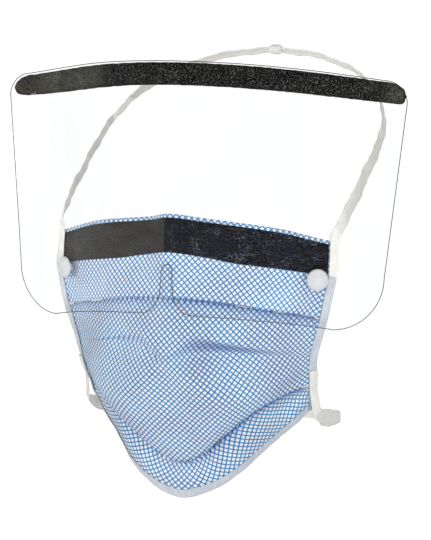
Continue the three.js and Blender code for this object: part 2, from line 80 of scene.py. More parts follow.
# A row for each edge and bend of the cloth, from top to bottom: name, half width, depths, heights, swell of
# the panel above it, and how softly the cloth turns there
ROWS = [
    ("top", 75.6, (-1.6, 9, 14, 22, 34.2, 36.2),
     (0, -2.2, -4, -7.2, -12.4, -13.2), 0, 0.4),
    ("strip_top", 75.6, (-1.8, 8.4, 13.2, 21.4, 33.8, 35.8),
     (-2, -4.2, -6, -9.2, -14.3, -15.1), 0, 0.5),
    ("strip_low", 75.6, (-2.2, 4, 8, 18.8, 32.6, 34.6),
     (-19.4, -21.3, -24.2, -27, -30.2, -31), 0.5, 2),
    ("pleat1", 70.8, (-4.3, -2.9, 1.6, 15.2, 33.6, 35.4),
     (-42, -42.4, -44, -48, -52, -53), 0.2, 0.35),
    ("tuck1", 70.4, (-2.6, 0, 4.8, 17.8, 33.9, 35.6),
     (-43.6, -44.1, -45.7, -49.6, -53.4, -54.4), 0, 0.5),
    ("pleat2", 66, (-6.3, -4.6, 0.4, 13.6, 33.6, 36.6),
     (-71, -61.8, -63, -66.8, -69.4, -70.2), 0.6, 0.35),
    ("tuck2", 65.6, (-6, 3.4, 10.4, 18.4, 34, 36.8),
     (-72.8, -70.6, -69.6, -70.2, -71.4, -72), 0, 0.6),
    ("crest", 64.8, (-6.5, -5.4, -0.2, 13.4, 35, 38.8),
     (-75, -82, -91.5, -88.5, -79.5, -78.5), 0.6, 1.2),
    ("chin", 64.4, (5, 4.6, 6, 16.2, 37, 40.4),
     (-101, -101.8, -102.6, -92.8, -83.5, -82.6), 0.6, 3.5),
    ("pleat3", 63.4, (18.4, 17.6, 14.8, 18.6, 38.6, 42.6),
     (-128.5, -124, -112.5, -96.5, -87.5, -86.4), 0.8, 0.35),
    ("tuck3", 63, (20.4, 20.2, 18.2, 21.8, 40, 43.6),
     (-129.7, -125.6, -114.3, -98.2, -89.2, -88), 0, 0.5),
    ("bottom", 61.6, (22.4, 22.8, 26, 37, 46, 49),
     (-146.2, -143.6, -135.8, -117.4, -101.4, -98.6), 1.4, 0.4),
]

# Creases and puckers on the cloth: from x, z to x, z, half width, and height, which is negative for a valley
CREASES = np.array([
    (68, -37, 62, -52, 3, -1.1),
    (55, -33, 51, -49, 4.5, -0.7),
    (46, -30, 43, -46, 4, 0.5),
    (33, -27, 34, -42, 5, -0.4),
    (-66, -37, -60, -50, 3, -0.8),
    (-50, -31, -46, -47, 5, -0.5),
    (-24, -26, -20, -41, 4, 0.4),
    (-12, -60, -5, -74, 1.8, 0.7),
    (9, -60, 4, -73, 1.8, 0.6),
    (58, -72, 50, -84, 3, 0.8),
    (61, -80, 52, -92, 2.4, -0.8),
    (-58, -74, -47, -86, 3, 0.7),
    (-60, -84, -50, -94, 2.4, -0.7),
    (56, -93, 47, -104, 2.2, -0.9),
    (57, -97, 50, -112, 1.8, 0.7),
    (-56, -94, -46, -106, 2.2, -0.8),
    (20, -98, 8, -118, 6, -0.6),
    (-18, -96, -10, -120, 6, -0.5),
    (60, -56, 48, -60, 3, 0.5),
    (-60, -57, -46, -61, 3, 0.5),
])

VISOR = SimpleNamespace(
    height=126.2, top_half=119.4, bottom_half=110.5, top_drop=6.8, bottom_drop=6.1, top_corner=11.3,
    bottom_corner=26.4, notch_height=24.8, notch_half=2.7, mouth_half=3.3, flare=9.9, flare_height=13,
    bend_in=1.6, bend_back=1.85, span_half=130, front=-5.5, bottom=-50.1, lean=math.radians(1.3),
    pull=4.2, pull_wide=24, thickness=0.3,
)
RIVET = SimpleNamespace(along=75.4, up=18.9)
FOAM = SimpleNamespace(
    height=11.2, thickness=12, top=0.6, gap=0.35, end_inset=2.2, end_rise=1.2, end_round=7, top_corner=1.6,
    bottom_corner=3.4,
)

# How far the print turns down towards each side at a row, in degrees, from the cloth's top to its bottom
GRAIN = {
    "top": 9, "strip_low": 10, "pleat1": 11, "tuck1": 10, "pleat2": 13, "tuck2": -12, "crest": -17,
    "chin": -12, "pleat3": -16, "tuck3": -50, "bottom": -52,
}

# The ties' middle lines on the wearer's left: x, y, z, width, and how far the ribbon lies flat on the head
UPPER_TIE = np.array([
    (75.2, 34.2, -10.4, 5.2, 0.35), (77.2, 39.6, -3.6, 6.6, 0.8), (78.4, 52, 6, 7.6, 1),
    (79.2, 74, 22.4, 7, 1), (79, 97, 39, 6, 1), (73.5, 115, 54, 5.8, 1),
    (61, 130, 67, 5.8, 1), (42.5, 141, 76.4, 5.8, 1), (22, 147.6, 81.9, 5.8, 1), (3.4, 150, 84, 5.4, 1),
])
LOWER_TIE = np.array([
    (64, 46, -101.4, 5.2, 0.4), (64.4, 52.4, -104.6, 6.6, 0.85), (63.2, 62, -107, 7.8, 1),
    (60.4, 84, -110, 7, 1), (57.6, 101, -111.4, 6, 1), (51.4, 120, -113.2, 5.8, 1),
    (38, 138.4, -115.4, 5.8, 1), (21, 150, -117.2, 5.8, 1), (3.4, 153.9, -118.2, 5.4, 1),
])

# The rounds that the ties lie on, as a middle and half lengths. The neck is an upright column.
HEAD = (np.array([0, 92, 5]), np.array([79, 98, 97]))
NECK = (np.array([0, 96, 0]), np.array([58, 58, 1e6]))


# Camera, lights and the pale floor

def add_object(name, data):
    made = bpy.data.objects.new(name, data)
    bpy.context.scene.collection.objects.link(made)
    return made


def set_camera():
    """The camera stands 21 degrees to the wearer's left of straight ahead and 4.6 degrees up."""
    turn, lift, roll = (math.radians(angle) for angle in (21, 4.6, 1.15))
    away, aside, below = 1235, 22.7, 27.8
    ahead = Vector((-math.sin(turn) * math.cos(lift), math.cos(turn) * math.cos(lift), -math.sin(lift)))
    right = Vector((math.cos(turn), math.sin(turn), 0))
    up = right.cross(ahead)
    place = -away * ahead + aside * right - below * up
    right_rolled = right * math.cos(roll) + up * math.sin(roll)
    up_rolled = up * math.cos(roll) - right * math.sin(roll)
    data = bpy.data.cameras.new("camera")
    data.lens = 164.67
    data.clip_start = 0.05
    data.clip_end = 30
    camera = add_object("camera", data)
    turned = Matrix((right_rolled, up_rolled, -ahead)).transposed().to_4x4()
    camera.matrix_world = Matrix.Translation(place * MM) @ turned
    bpy.context.scene.camera = camera


def add_light(name, place, target, size, watts, colour=(1, 1, 1), card=False):
    """An area light. A card is seen only in reflections, and any other light only in what it lights."""
    data = bpy.data.lights.new(name, "AREA")
    data.shape = "RECTANGLE"
    data.size, data.size_y = size
    data.energy = watts
    data.color = colour
    light = add_object(name, data)
    light.location = place
    light.rotation_euler = (Vector(target) - Vector(place)).to_track_quat("-Z", "Y").to_matrix().to_euler()
    light.visible_glossy = light.visible_transmission = card
    light.visible_diffuse = not card


def light_the_set():
    """Large lights on all sides, and a card whose reflection is the pale band in the film."""
    world = bpy.data.worlds.new("studio")
    bpy.context.scene.world = world
    world.use_nodes = True
    background = world.node_tree.nodes["Background"]
    background.inputs["Color"].default_value = (0.97, 0.985, 1, 1)
    background.inputs["Strength"].default_value = 0.28
    centre = (0, 0.03, -0.04)
    add_light("key", (0.9, -0.95, 0.8), centre, (0.6, 0.6), 4.6, (1, 0.985, 0.965))
    add_light("front", (-0.15, -1.7, 0), centre, (1, 1.2), 7.6, (0.98, 0.985, 1))
    add_light("low right", (0.9, -0.95, -0.5), centre, (0.9, 0.5), 10.5, (0.93, 0.965, 1))
    add_light("behind", (0.3, 1.6, 0.3), centre, (1.2, 1.2), 16)
    add_light("left", (-1.3, -0.45, -0.1), centre, (0.7, 1.3), 10)
    add_light("top", (0.1, 0.1, 1.5), centre, (1.2, 1.2), 1.5)
    add_light("tall card", (-0.552, -0.296, 0.028), (-0.025, 0, 0.031), (0.2, 0.08), 0.52, card=True)
    bpy.context.scene.view_settings.view_transform = "Standard"
    bpy.context.scene.view_settings.look = "None"


# Helpers that turn arrays of points into meshes

def new_piece(name, points, uv=None, closed=False, flip=False, materials=()):
    """A skin over a grid of points (rows, columns, 3) in mm. closed joins the last column to the first.

    Face j, i has the corners (j, i), (j + 1, i), (j + 1, i + 1), (j, i + 1), or the other way with flip.
    """
    rows, columns = points.shape[:2]
    ends = columns if closed else columns - 1
    j, i = np.meshgrid(np.arange(rows - 1), np.arange(ends), indexing="ij")
    k = (i + 1) % columns
    faces = np.stack([j * columns + i, (j + 1) * columns + i, (j + 1) * columns + k, j * columns + k], -1)
    faces = faces.reshape(-1, 4)
    if flip:
        faces = faces[:, ::-1]
    mesh = bpy.data.meshes.new(name)
    mesh.from_pydata((points * MM).reshape(-1, 3).tolist(), [], faces.tolist())
    mesh.polygons.foreach_set("use_smooth", np.ones(len(faces), dtype=bool))
    if uv is not None:
        layer = mesh.uv_layers.new(name="flat")
        layer.data.foreach_set("uv", uv.reshape(-1, 2)[faces.ravel()].astype(np.float32).ravel())
    mesh.validate()
    for material in materials:
        mesh.materials.append(material)
    piece = add_object(name, mesh)
    if name != "sweep":
        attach(piece, "root")
    return piece


def thicken(piece, thickness, rim=0, back=0):
    """A wall behind the skin. rim and back count on to the materials of its edge and its back."""
    wall = piece.modifiers.new("wall", "SOLIDIFY")
    wall.thickness = thickness * MM
    wall.offset = -1
    wall.use_even_offset = False
    wall.material_offset = back
    wall.material_offset_rim = rim


def unit(vectors):
    return vectors / np.maximum(np.linalg.norm(vectors, axis=-1, keepdims=True), 1e-9)


def joined(*parts):
    return np.concatenate(parts)


def way_along(line):
    """The length of the line from its start to each of its points."""
    return joined([0], np.cumsum(np.linalg.norm(np.diff(line, axis=0), axis=1)))


def full_circle(count):
    return np.linspace(0, 2 * math.pi, count, endpoint=False)


def squared(values, power):
    """Cosines or sines moved towards -1 and 1, which makes a box with round corners of a circle."""
    return np.sign(values) * np.abs(values) ** power


def bell(x, middle, width):
    return np.exp(-((x - middle) / width) ** 2)


def flat_places(u, v):
    """The coordinates u and v at each point of a grid, in metres."""
    return np.stack(np.broadcast_arrays(u, v), -1) * MM


def normals_of(grid):
    """The unit normals of a grid: the way down the rows crossed with the way along the columns."""
    return unit(np.cross(np.gradient(grid, axis=0), np.gradient(grid, axis=1)))


def step_up(low, high, x):
    """0 below low, 1 above high, and the cubic 3 u squared less 2 u cubed between."""
    u = np.clip((x - low) / (high - low), 0, 1)
    return u * u * (3 - 2 * u)


def waves(x, y, scale, count=9, seed=1):
    """Soft uneven relief from about -1 to 1: a sum of sines, each turned by the golden angle."""
    total = np.zeros_like(x)
    for k in range(count):
        angle = GOLDEN_ANGLE * k + seed
        length = scale * (0.55 + 0.9 * ((k * GOLDEN_SHARE + seed * 0.37) % 1))
        total += np.sin((x * math.cos(angle) + y * math.sin(angle)) * 2 * math.pi / length + 1.7 * k + seed)
    return total / math.sqrt(count) / 1.4


def through(values, at):
    """A smooth curve of cubic pieces through values at ACROSS, level at 0, worked out at the shares at."""
    nodes, values = ACROSS, np.asarray(values, float)
    gaps = np.diff(nodes)
    rise = np.diff(values) / gaps
    slope = np.zeros(len(nodes))
    slope[1:-1] = (rise[:-1] * gaps[1:] + rise[1:] * gaps[:-1]) / (gaps[1:] + gaps[:-1])
    slope[-1] = rise[-1]
    k = np.clip(np.searchsorted(nodes, at, side="right") - 1, 0, len(nodes) - 2)
    span = gaps[k]
    u = (at - nodes[k]) / span
    return (values[k] * (1 + 2 * u) * (1 - u) ** 2 + values[k + 1] * u * u * (3 - 2 * u)
            + span * (slope[k] * u * (1 - u) ** 2 - slope[k + 1] * u * u * (1 - u)))


# The cloth: rails across the mask, joined by panels of fine rows

def rail(row, across):
    """One row's points. On the wearer's right, pleat 2 is shallower and the mask a little wider."""
    _, half, depths, heights, _, _ = row
    share = np.abs(across)
    depth, level = through(depths, share), through(heights, share)
    if row[0] == "tuck2":
        shallow = np.where(across < 0, step_up(0.06, 0.22, share) * (1 - step_up(0.45, 0.95, share)), 0)
        depth, level = depth - RIGHT_FORWARD * shallow, level + RIGHT_RAISED * shallow
    wider = RIGHT_WIDER * np.where(across < 0, share ** 2, 0) * bell(level, -42, 26)
    return np.stack([half * across - wider, depth, level], -1)


def fold_rails(above, edge, across):
    """Three hidden rails behind a pleat's edge: the cloth turns in, runs up behind it and comes back.

    Each is the edge moved inwards and up along the panel above, by amounts that fade to nothing at the sides.
    """
    fade = (1 - step_up(0.84, 0.97, np.abs(across)))[:, None]
    up = unit(above - edge)
    inwards = unit(np.cross(np.gradient(edge, axis=0), above - edge))
    inwards = inwards * np.where(inwards[:, 1:2] < 0, -1, 1)
    return [edge + fade * (inwards * depth + up * height) for depth, height in FOLD_PATH]


def cloth_grid(columns=221):
    """The cloth's rows of points, the named rails' row numbers, each row's softness, each column's place."""
    spread = np.linspace(-1, 1, columns)
    across = np.sign(spread) * (0.86 * np.abs(spread) ** 1.1 + 0.14 * np.abs(spread) ** 6)
    rails = [(row[0], rail(row, across), row[4], row[5]) for row in ROWS]
    stack = rails[:1]
    for before, after in zip(rails[:-1], rails[1:]):
        stack.append(after)
        if after[0] in FOLDED:
            for n, hidden in enumerate(fold_rails(before[1], after[1], across)):
                stack.append((f"{after[0]}_fold{n}", hidden, 0, FOLD_SOFTNESS))
    rows, soft, at = [stack[0][1]], [stack[0][3]], {stack[0][0]: 0}
    for above, below in zip(stack[:-1], stack[1:]):
        length = np.linalg.norm(below[1] - above[1], axis=1).mean()
        count = max(2, int(round(length / FINE_ROW)))
        share = (np.arange(1, count + 1) / count)[:, None, None]
        swell = below[2] * np.sin(np.pi * share) * (1 - across[None, :, None] ** 4)
        panel = above[1] + (below[1] - above[1]) * share
        panel = panel + swell * np.stack([across * 0.5, -np.ones_like(across), np.zeros_like(across)], -1)
        rows.extend(panel)
        softness = above[3] + (below[3] - above[3]) * share[:, 0, 0]
        soft.extend(softness)
        at[below[0]] = len(rows) - 1
    return np.array(rows), at, np.array(soft), across


def softened(grid, soft):
    """Each row becomes the mean of the rows round it, weighted by a bell curve as wide as its softness."""
    way = way_along(grid[:, int(grid.shape[1] * 0.62)])
    reach = np.minimum(soft, 0.45 * np.minimum(way - way[0], way[-1] - way) + 0.05)
    weight = np.exp(-0.5 * ((way[:, None] - way[None, :]) / reach[:, None]) ** 2)
    weight /= weight.sum(axis=1, keepdims=True)
    return np.einsum("jk,kic->jic", weight, grid)


def crease_relief(x, z, across):
    """The creases as ridges with tapered ends, soft waves, and the gathers beside the side bindings."""
    total = np.zeros_like(x)
    for x0, z0, x1, z1, width, height in CREASES:
        dx, dz = x1 - x0, z1 - z0
        along = np.clip(((x - x0) * dx + (z - z0) * dz) / (dx ** 2 + dz ** 2), 0, 1)
        distance = np.hypot(x - x0 - along * dx, z - z0 - along * dz)
        taper = 0.35 + 0.65 * np.sin(np.pi * np.clip(along, 0.1, 0.9))
        total += height * bell(distance, 0, width) * taper
    total += 0.28 * waves(x, z, 26, seed=3) + 0.10 * waves(x, z, 9, seed=5)
    gathers = np.sin(z * 2 * math.pi / 7.5 + 2 * np.sin(z * 0.11)) * step_up(0.72, 0.93, np.abs(across))
    return (total + 0.22 * gathers) * (1 - step_up(0.93, 1, np.abs(across)) * 0.75)


def pair_sum(field, axis):
    """The sum of each two neighbours down the rows, for axis 0, or along the columns."""
    return field[1:] + field[:-1] if axis == 0 else field[:, 1:] + field[:, :-1]


def flat_uv(grid, folds=(), turns=0, hold=1):
    """Where each point lies on the flat cloth, in metres: a least squares fit of the skin without shear.

    Each edge of the grid should keep its length along the level direction in the skin, u, and along the one
    straight down it, v, both turned by turns at each point. Rows inside a fold, given as first and last, take
    the directions of a row above them, and hold says how much each row counts. The fit's normal equations are
    solved by conjugate gradients. Each tour after the first lets both directions turn at each point.
    """
    normal = normals_of(grid)
    level = unit(np.cross(normal, (0, 0, 1)))
    level = level * np.where(level[..., :1] < 0, -1, 1)
    down = np.cross(level, normal)
    down = down * np.where((down * np.gradient(grid, axis=0)).sum(-1, keepdims=True) < 0, -1, 1)
    for first, last in folds:
        level[first:last + 1] = level[first - 2]
        down[first:last + 1] = down[first - 2]
    turns = (turns + np.zeros(grid.shape[:2]))[..., None]
    hold = hold * np.ones(len(grid))
    c, d = np.cos(turns), np.sin(turns)
    level, down = level * c + down * d, down * c - level * d
    steps, weights = [], []
    for axis in (0, 1):
        edge = np.diff(grid, axis=axis)
        steps.append(np.stack([(edge * unit(pair_sum(f, axis))).sum(-1) for f in (level, down)], -1))
        if axis == 0:
            length = (edge ** 2).sum(-1)
            steps[0][..., 1] = np.sqrt(np.maximum(length - steps[0][..., 0] ** 2, 0))
        kept = np.minimum(hold[1:], hold[:-1]) if axis == 0 else hold
        weights.append(kept[:, None, None] / (np.linalg.norm(edge, axis=-1, keepdims=True) + 0.3))

    def gather(parts, sign=-1):
        total = np.zeros(grid.shape[:2] + (parts[0].shape[-1],))
        total[1:] += parts[0]
        total[:-1] += sign * parts[0]
        total[:, 1:] += parts[1]
        total[:, :-1] += sign * parts[1]
        return total

    scale = gather(weights, 1)
    flat = np.zeros(grid.shape[:2] + (2,))
    aimed = steps
    for solver_steps in SOLVER_STEPS:
        left = gather([weights[a] * (aimed[a] - np.diff(flat, axis=a)) for a in (0, 1)])
        eased = left / scale
        way, energy = eased.copy(), (left * eased).sum()
        for _ in range(solver_steps):
            pushed = gather([weights[a] * np.diff(way, axis=a) for a in (0, 1)])
            amount = energy / (way * pushed).sum()
            flat += amount * way
            left -= amount * pushed
            eased = left / scale
            fresh = (left * eased).sum()
            way, energy = eased + way * fresh / energy, fresh
        laid = [np.diff(flat, axis=a) for a in (0, 1)]
        along = gather([weights[a] * (laid[a] * steps[a]).sum(-1, keepdims=True) for a in (0, 1)], 1)
        aside = []
        for a in (0, 1):
            (x, y), (u, v) = np.moveaxis(steps[a], -1, 0), np.moveaxis(laid[a], -1, 0)
            aside.append(weights[a] * (v * x - u * y)[..., None])
        aside = gather(aside, 1)
        turn = unit(np.concatenate([along, aside], axis=-1))
        aimed = []
        for a in (0, 1):
            c, d = np.moveaxis(unit(pair_sum(turn, a)), -1, 0)
            x, y = np.moveaxis(steps[a], -1, 0)
            aimed.append(np.stack([c * x - d * y, d * x + c * y], -1))
    return (flat - flat[0, grid.shape[1] // 2]) * MM


def fading(rows, start, below, full, after, length):
    """0 above the row start, then full until below reaches 0, then after, fading over the length."""
    faded = np.where(below < 0, full, after * bell(below, 0, length))
    return np.where(rows < start, 0, faded)[:, None]


def fold_shade(grid, at, across):
    """How far each point lies in a pleat's shadow: most inside the folds, and a little under them."""
    rows = np.arange(len(grid))
    away_from_sides = 1 - step_up(0.9, 1, np.abs(across))
    way = way_along(grid[:, grid.shape[1] // 2])
    first = fading(rows, at["pleat1"], way - way[at["tuck1"]], 1, 0.4, 3.6)
    first = first * (0.5 + 0.5 * step_up(-0.1, 0.2, across)) * away_from_sides
    share = np.clip((rows - at["pleat2"]) / (at["tuck2"] - at["pleat2"]), 0, 1)
    second = np.sin(np.pi * share)[:, None] * (0.75 * bell(across, 0.42, 0.3) + 0.4 * bell(across, -0.5, 0.3))
    third = fading(rows, at["pleat3"], rows - at["tuck3"], 0.9, 0.3, 2.5)
    third = third * (0.35 + 0.65 * step_up(0.1, 0.35, across)) * away_from_sides
    return first + second + third


def print_uv(grid, at, across):
    """The print's coordinates: turned as GRAIN says, and free to slip where the cloth is folded away."""
    rows = np.arange(len(grid))
    grain = np.radians(np.interp(rows, [at[name] for name in GRAIN], list(GRAIN.values())))
    turns = grain[:, None] * np.sign(across) * step_up(0, 0.4, np.abs(across))
    folds = [(at[name], at[name.replace("pleat", "tuck")]) for name in FOLDED]
    hidden, shallow = 0.03, 0.3
    hold = np.ones(len(grid))
    for first, last in folds:
        hold[first + 1:last] = hidden
    hold[at["pleat2"] + 1:at["tuck2"]] = shallow
    return flat_uv(grid, folds, turns, hold)


def make_cloth():
    """The softened grid with its creases, which are calmer under the strip and in the folds."""
    grid, at, soft, across = cloth_grid()
    grid = softened(grid, soft)
    calm = np.ones(len(grid))
    for name in FOLDED:
        calm[at[name]:at[name + "_fold2"] + 1] = 0.35
    calm[:at["strip_low"]] = 0.45
    calm = np.convolve(np.pad(calm, 4, mode="edge"), np.ones(9) / 9, mode="valid")
    relief = crease_relief(grid[..., 0], grid[..., 2], across) * calm[:, None]
    outward = normals_of(grid)
    facing = outward * np.sign(-outward[..., 1:2] + 1e-9)
    return grid + facing * relief[..., None], at, across


def place_cloth(grid, at, across, materials):
    cloth = new_piece("mask_cloth", grid, print_uv(grid, at, across), materials=materials)
    layer = cloth.data.attributes.new("fold_shade", "FLOAT", "POINT")
    layer.data.foreach_set("value", fold_shade(grid, at, across).astype(np.float32).ravel())
    thicken(cloth, CLOTH_WALL, back=1)
    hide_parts("mask_body")
    return cloth


def column_at(grid, across, share):
    """Each row's point at a share of the half width, on the line between the columns beside it."""
    k = int(np.clip(np.searchsorted(across, share) - 1, 0, len(across) - 2))
    u = (share - across[k]) / (across[k + 1] - across[k])
    return grid[:, k] * (1 - u) + grid[:, k + 1] * u


def even_stations(guide, lines, pitch):
    """The lines' points at even steps along the guide line."""
    way = way_along(guide)
    at = np.linspace(0, way[-1], max(4, int(way[-1] / pitch)))
    return [np.stack([np.interp(at, way, line[:, c]) for c in range(3)], -1) for line in lines]


def smooth_line(line, reach):
    """Each point becomes a mean of the points up to reach away, and the ends stay where they are."""
    kernel = np.hanning(2 * reach + 1)
    kernel /= kernel.sum()
    padded = np.pad(line, ((reach, reach), (0, 0)), mode="reflect", reflect_type="odd")
    return np.stack([np.convolve(padded[:, c], kernel, mode="valid") for c in range(line.shape[1])], -1)


def make_strip(grid, at, across, material):
    """The dark strip is the cloth's own face between two rails, raised, with dents and long folds."""
    rows = grid[at["strip_top"]:at["strip_low"] + 1]
    stretch = np.linspace(0, 1, STRIP_ROWS)
    index = stretch * (len(rows) - 1)
    low = np.floor(index).astype(int).clip(0, len(rows) - 2)
    fine = rows[low] + (rows[low + 1] - rows[low]) * (index - low)[:, None, None]
    keep = np.abs(across) < BINDING_LINE - 0.006
    fine = fine[:, keep]
    x, z = fine[..., 0], fine[..., 2]
    dents = 0.16 * waves(x, z, 7, seed=11) * step_up(20, 45, np.abs(x))
    dents = dents + 0.1 * waves(x, z * 3, 16, seed=4)
    for height in (0.42, 0.68):
        line = bell(stretch[:, None] - height, 0.03 * np.sin(x / 9), 0.035)
        dents = dents + 0.22 * line * step_up(8, 40, x)
    fine = fine + normals_of(fine) * (STRIP_LIFT + dents[..., None])
    strip = new_piece("glare_strip_film", fine, flat_uv(fine), materials=[material])
    thicken(strip, STRIP_WALL)
    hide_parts("glare_strip")


def folded_strip(name, leg, edge, normal, lift_share, material, node, flip):
    """A strip folded round an edge: out along the face from leg to edge, round it, and back behind it."""
    out = edge - leg
    width = np.linalg.norm(out, axis=1, keepdims=True)
    out = out / width
    front, bend, middle, back = 0.72, 1.05, -0.3, -1.35
    turn = np.linspace(0, math.pi, 9)
    ahead = joined(np.linspace(0, 0.94, 7), np.ones(9), np.linspace(0.94, 0.05, 6))
    beyond = joined(np.zeros(7), np.sin(turn), np.zeros(6))
    lift = joined(np.full(7, front), middle + np.cos(turn) * bend, np.full(6, back))
    along = np.arange(len(leg))[:, None] * BINDING_STEP
    wobble = 0.1 * waves(along + 0 * ahead, 6 * ahead + 0 * along, 9, seed=len(name))
    points = (leg[:, None] + out[:, None] * (width[:, None] * ahead[None, :, None] + beyond[None, :, None])
              + normal[:, None] * (lift[None, :] + wobble)[..., None] * lift_share)
    uv = flat_places(along, np.linspace(0, 10.5, len(ahead)))
    piece = new_piece(name, points, uv, flip=flip, materials=[material])
    thicken(piece, BINDING_WALL)
    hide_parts(node)
    return piece


def side_lines(grid, across, side):
    """The side binding's leg line, edge line and outward normals, at even steps down the mask."""
    leg = column_at(grid, across, side * BINDING_LINE)
    edge = column_at(grid, across, side * EDGE_LINE)
    leg, edge = even_stations(edge, (leg, edge), BINDING_STEP)
    leg, edge = smooth_line(leg, 3), smooth_line(edge, 3)
    normal = unit(smooth_line(np.cross(np.gradient(edge, axis=0), edge - leg) * side, 5))
    return leg, edge, normal


def make_bindings(grid, across, material):
    """Strips round both sides, and one round the hem between them."""
    pieces = []
    for side, word in ((1, "left"), (-1, "right")):
        leg, edge, normal = side_lines(grid, across, side)
        name = f"side_binding_{word}"
        pieces.append(folded_strip(name, leg, edge, normal, 1, material, f"binding_{word}", side < 0))
    keep = np.abs(across) < BINDING_LINE - 0.004
    inside = grid[:, keep]
    edge = inside[-1]
    hem = []
    for i in range(inside.shape[1]):
        upwards = inside[::-1, i][:14]
        way = way_along(upwards)
        hem.append([np.interp(HEM, way, upwards[:, c]) for c in range(3)])
    leg, edge = even_stations(edge, (np.array(hem), edge), BINDING_STEP)
    normal = unit(smooth_line(np.cross(edge - leg, np.gradient(edge, axis=0)), 3))
    pieces.append(folded_strip("bottom_binding", leg, edge, normal, 0.9, material, "binding_bottom", True))
    return pieces


# The visor, the foam bar and the rivets

def film_turn(u):
    """How far the film has turned from straight across, u being the share of its half length."""
    return VISOR.bend_in * u - VISOR.bend_back * u ** 3


def spine_of():
    """The film's curve from above, in even steps: the way along it, and x and y."""
    steps = 520
    u = (np.arange(steps) + 0.5) / steps
    turn = film_turn(u)
    step = VISOR.span_half / steps
    x = joined([0], np.cumsum(np.cos(turn) * step))
    y = joined([0], np.cumsum(np.sin(turn) * step))
    return np.arange(steps + 1) * step, x, y


SPINE = spine_of()


def visor_point(along, up, inwards=0):
    """A place on the flat film, or behind it, carried onto the bent one, which the rivets pull back."""
    v = VISOR
    along, up = np.broadcast_arrays(np.asarray(along, float), np.asarray(up, float))
    side = np.where(along < 0, -1, 1)
    a = np.abs(along)
    x, y = np.interp(a, SPINE[0], SPINE[1]), np.interp(a, SPINE[0], SPINE[2])
    turn = film_turn(a / v.span_half)
    px = side * (x - np.sin(turn) * inwards)
    py = y + np.cos(turn) * inwards
    pull = v.pull * bell(a, RIVET.along, v.pull_wide) * (1 - up / v.height)
    c, s = math.cos(v.lean), math.sin(v.lean)
    return np.stack([px, v.front + pull + py * c + up * s, v.bottom + up * c - py * s], -1)


def visor_top(along):
    """The film's top edge: a falling curve and then a round corner."""
    v = VISOR
    start = v.top_half - v.top_corner
    a = np.abs(along)
    level = v.height - v.top_drop * (np.minimum(a, start) / start) ** 2
    corner = np.sqrt(np.maximum(0, v.top_corner ** 2 - np.maximum(a - start, 0) ** 2))
    return np.where(a <= start, level, v.height - v.top_drop - v.top_corner + corner)


def visor_bottom(along):
    """The film's lower edge: the notch's round top, walls and flare, then the falling edge and corner."""
    v = VISOR
    a = np.abs(along)
    start = v.bottom_half - v.bottom_corner
    mouth = v.mouth_half + v.flare
    crown = v.notch_height - v.notch_half
    crown_arc = crown + np.sqrt(np.maximum(0, v.notch_half ** 2 - a ** 2))
    widening = (a - v.notch_half) / (v.mouth_half - v.notch_half)
    wall = crown + (v.flare_height - crown) * widening
    level = -v.bottom_drop * (a / start) ** 2
    share = np.clip((mouth - a) / v.flare, 0, 1)
    flare = level + (v.flare_height - level) * (1 - np.sqrt(1 - share ** 2))
    low = v.bottom_corner - v.bottom_drop
    corner = low - np.sqrt(np.maximum(0, v.bottom_corner ** 2 - np.maximum(a - start, 0) ** 2))
    side_top = v.height - v.top_drop - v.top_corner
    side = low + (side_top - low) * (a - v.bottom_half) / (v.top_half - v.bottom_half)
    return np.select([a <= v.notch_half, a <= v.mouth_half, a < mouth, a <= start, a <= v.bottom_half],
                     [crown_arc, wall, flare, level, corner], side)


def quarter(count):
    return np.linspace(0, math.pi / 2, count)


def make_visor(film, rim):
    """The film, with more columns where an edge turns, and a thin dark bead along its cut edge, which is
    painted shade for the clear edge that looks dark through refraction.
    """
    v = VISOR
    mouth = v.mouth_half + v.flare
    start = v.bottom_half - v.bottom_corner
    half = joined(
        v.notch_half * np.sin(quarter(12)), np.linspace(v.notch_half, v.mouth_half, 5),
        mouth - v.flare * np.cos(quarter(14)), np.linspace(mouth, start, 60),
        start + v.bottom_corner * np.sin(quarter(24)),
        v.top_half - v.top_corner * (1 - np.sin(quarter(22))),
    )
    half = np.unique(np.round(half, 3))
    half = half[joined([True], np.diff(half) > 0.02)]
    along = joined(-half[:0:-1], half)
    high, low = visor_top(along), visor_bottom(along)
    share = np.linspace(0, 1, FILM_ROWS)[:, None]
    up = high + (np.minimum(low, high - 0.02) - high) * share
    points = visor_point(np.broadcast_to(along, up.shape), up)
    drift = 0.22 * waves(along + 0 * up, 0.6 * up, 95, count=5, seed=2)
    points = points + normals_of(points) * (drift * np.sin(np.pi * np.clip(share, 0.02, 0.98)))[..., None]
    visor = new_piece("visor_film", points, materials=[film, rim])
    thicken(visor, v.thickness, rim=1)
    cut = visor.modifiers.new("sharp_rim", "EDGE_SPLIT")
    cut.split_angle = math.radians(40)
    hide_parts("visor")
    edge = joined(points[0], points[-1, ::-1])
    edge = edge[joined([True], np.linalg.norm(np.diff(edge, axis=0), axis=1) > 0.05)]
    way = unit(np.roll(edge, -1, axis=0) - np.roll(edge, 1, axis=0))
    outward = unit(edge * (1, 1, 0) - (0, 90, 0))
    sideways = unit(np.cross(way, outward))
    outward = np.cross(sideways, way)
    angle = full_circle(8)[None, :, None]
    ring = edge[:, None] - BEAD_INSET * outward[:, None]
    ring = ring + BEAD * (np.cos(angle) * outward[:, None] + np.sin(angle) * sideways[:, None])
    # The bead is painted shade: a dark tube where the clear cut edge looks dark through refraction.
    bead = new_piece("visor_cut_edge", joined(ring, ring[:1]), closed=True, materials=[rim])


def corner_drop(inset, radius):
    """How far a round corner falls short of its edge, by the distance in from the end."""
    return radius - np.sqrt(radius ** 2 - np.maximum(0, radius - inset) ** 2)


